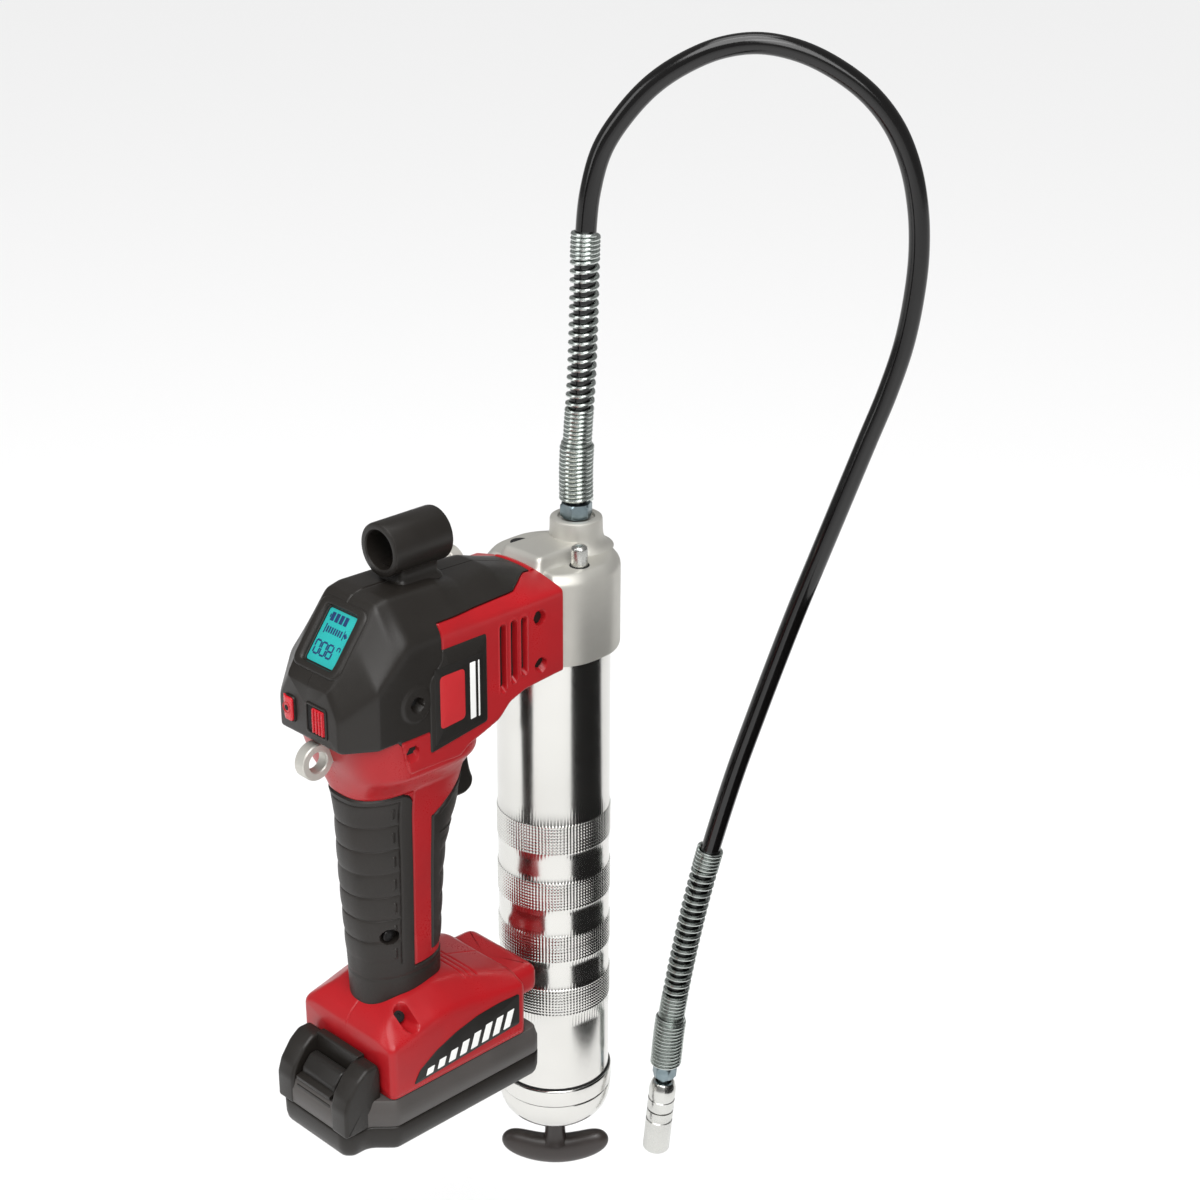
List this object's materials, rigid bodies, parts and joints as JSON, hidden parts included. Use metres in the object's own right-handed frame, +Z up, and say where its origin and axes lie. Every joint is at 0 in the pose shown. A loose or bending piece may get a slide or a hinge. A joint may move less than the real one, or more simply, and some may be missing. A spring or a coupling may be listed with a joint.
{
  "type": "cordless grease gun",
  "caption": "Battery pistol-grip grease gun with display, upright cartridge barrel, cast pump head and a whip hose with spring guards and a coupler.",
  "frame": {"origin": "the middle of the hand grip, on the tool's centre plane", "axes": "+Z up along the barrel, +X from the grip towards the barrel, +Y to the tool's left"},
  "size_m": [0.2966, 0.1671, 0.6079],
  "materials": {
    "red_shell": "satin moulded",
    "dark_cover": "fine textured",
    "side_label": "printed sheet",
    "overmould": "soft matt",
    "display_glass": "clear over a backlight",
    "circuit_board": "solder mask",
    "zinc_steel": "zinc plated",
    "cast_aluminium": "satin cast",
    "bright_steel": "bright plated",
    "plain_steel": "machined",
    "spring_steel": "plated wire",
    "dark_handle": "moulded",
    "seal_rubber": "matt",
    "red_control": "moulded",
    "cell_sleeve": "shrink sleeve",
    "copper_winding": "enamelled",
    "hose_rubber": "smooth gloss"
  },
  "bodies": {
    "tool": {"housing_right": "red_shell", "housing_left": "red_shell", "cover_right": "dark_cover", "cover_left": "dark_cover", "side_panel_right": "side_label", "side_panel_left": "side_label", "grip_rear": "overmould", "grip_front": "overmould", "display_bezel": "dark_cover", "display_window": "display_glass", "display_module": "circuit_board", "screw_head_upper": "zinc_steel", "screw_head_lower": "zinc_steel", "screw_cover": "zinc_steel", "screw_body": "zinc_steel", "screw_grip": "zinc_steel", "screw_foot": "zinc_steel", "head": "cast_aluminium", "filler_plug": "cast_aluminium", "outlet_nut": "zinc_steel", "barrel_gasket": "seal_rubber", "trigger_switch": "dark_cover", "control_board": "circuit_board", "coupler_holder": "overmould", "eyelet_rear": "cast_aluminium", "eyelet_side": "cast_aluminium", "motor_can": "plain_steel", "ring_gear": "plain_steel", "hose": "hose_rubber", "hose_guard_upper": "spring_steel", "hose_guard_lower": "spring_steel", "coupler_nut": "zinc_steel", "coupler_body": "bright_steel", "coupler_sleeve": "bright_steel", "coupler_jaws": "plain_steel"},
    "trigger_lever": {"trigger": "dark_cover"},
    "mode_key": {"mode_button": "red_control"},
    "speed_slide": {"speed_switch": "red_control"},
    "relief": {"relief_pin": "bright_steel"},
    "check_valve": {"check_ball": "plain_steel"},
    "cartridge_tube": {"barrel": "bright_steel", "end_cap": "bright_steel"},
    "rod": {"follower_rod": "plain_steel", "t_handle": "dark_handle"},
    "follower_cup": {"follower": "seal_rubber", "follower_spring": "spring_steel"},
    "battery": {"battery_case": "dark_cover", "cell_1": "cell_sleeve", "cell_2": "cell_sleeve", "cell_3": "cell_sleeve", "cell_4": "cell_sleeve", "cell_5": "cell_sleeve"},
    "battery_release": {"battery_latch": "dark_cover"},
    "motor": {"motor_rotor": "copper_winding", "sun_gear": "plain_steel"},
    "crank": {"crank_carrier": "plain_steel"},
    "planet_a": {"planet_gear_1": "plain_steel"},
    "planet_b": {"planet_gear_2": "plain_steel"},
    "planet_c": {"planet_gear_3": "plain_steel"},
    "piston": {"pump_piston": "plain_steel"}
  },
  "joints": [
    {"name": "trigger_pull", "type": "slide", "parent": "tool", "child": "trigger_lever", "axis": [-1, 0, 0], "range_m": [0, 0.006], "stiffness_N_per_m": 900, "springref_m": -0.004},
    {"name": "mode_press", "type": "slide", "parent": "tool", "child": "mode_key", "axis": [1, 0, 0], "range_m": [0, 0.0012], "stiffness_N_per_m": 1200, "springref_m": -0.0005},
    {"name": "speed_select", "type": "slide", "parent": "tool", "child": "speed_slide", "axis": [0, 1, 0], "range_m": [0, 0.004]},
    {"name": "relief_press", "type": "slide", "parent": "tool", "child": "relief", "axis": [0, 0, -1], "range_m": [0, 0.003], "stiffness_N_per_m": 1500, "springref_m": -0.001},
    {"name": "check_lift", "type": "slide", "parent": "tool", "child": "check_valve", "axis": [0, 0, 1], "range_m": [0, 0.002], "stiffness_N_per_m": 200, "springref_m": -0.001},
    {"name": "barrel_thread", "type": "hinge", "parent": "tool", "child": "cartridge_tube", "pos_m": [0.108, 0, 0], "axis": [0, 0, 1], "range_deg": [0, 1080]},
    {"name": "rod_pull", "type": "slide", "parent": "cartridge_tube", "child": "rod", "axis": [0, 0, -1], "range_m": [0, 0.175]},
    {"name": "follower_feed", "type": "slide", "parent": "cartridge_tube", "child": "follower_cup", "axis": [0, 0, 1], "range_m": [0, 0.18], "stiffness_N_per_m": 120, "springref_m": 0.3, "deforming": ["follower_spring"]},
    {"name": "battery_off", "type": "slide", "parent": "tool", "child": "battery", "axis": [-1, 0, 0], "range_m": [0, 0.09]},
    {"name": "latch_press", "type": "slide", "parent": "battery", "child": "battery_release", "axis": [1, 0, 0], "range_m": [0, 0.003], "stiffness_N_per_m": 900, "springref_m": -0.001},
    {"name": "motor_spin", "type": "hinge", "parent": "tool", "child": "motor", "pos_m": [0.004, 0, 0.112], "axis": [1, 0, 0], "continuous": true},
    {"name": "crank_spin", "type": "hinge", "parent": "tool", "child": "crank", "pos_m": [0.05, 0, 0.112], "axis": [1, 0, 0], "continuous": true},
    {"name": "planet_spin_a", "type": "hinge", "parent": "crank", "child": "planet_a", "pos_m": [0.0325, 0, 0.1228], "axis": [1, 0, 0], "continuous": true},
    {"name": "planet_spin_b", "type": "hinge", "parent": "crank", "child": "planet_b", "pos_m": [0.0325, -0.00935, 0.1066], "axis": [1, 0, 0], "continuous": true},
    {"name": "planet_spin_c", "type": "hinge", "parent": "crank", "child": "planet_c", "pos_m": [0.0325, 0.00935, 0.1066], "axis": [1, 0, 0], "continuous": true},
    {"name": "piston_stroke", "type": "slide", "parent": "tool", "child": "piston", "axis": [0, 0, 1], "range_m": [-0.004, 0.004]}
  ],
  "couplings": [
    {"joint": "crank_spin", "follows": "motor_spin", "ratio": 0.22222},
    {"joint": "planet_spin_a", "follows": "motor_spin", "ratio": -0.62222},
    {"joint": "planet_spin_b", "follows": "motor_spin", "ratio": -0.62222},
    {"joint": "planet_spin_c", "follows": "motor_spin", "ratio": -0.62222}
  ]
}
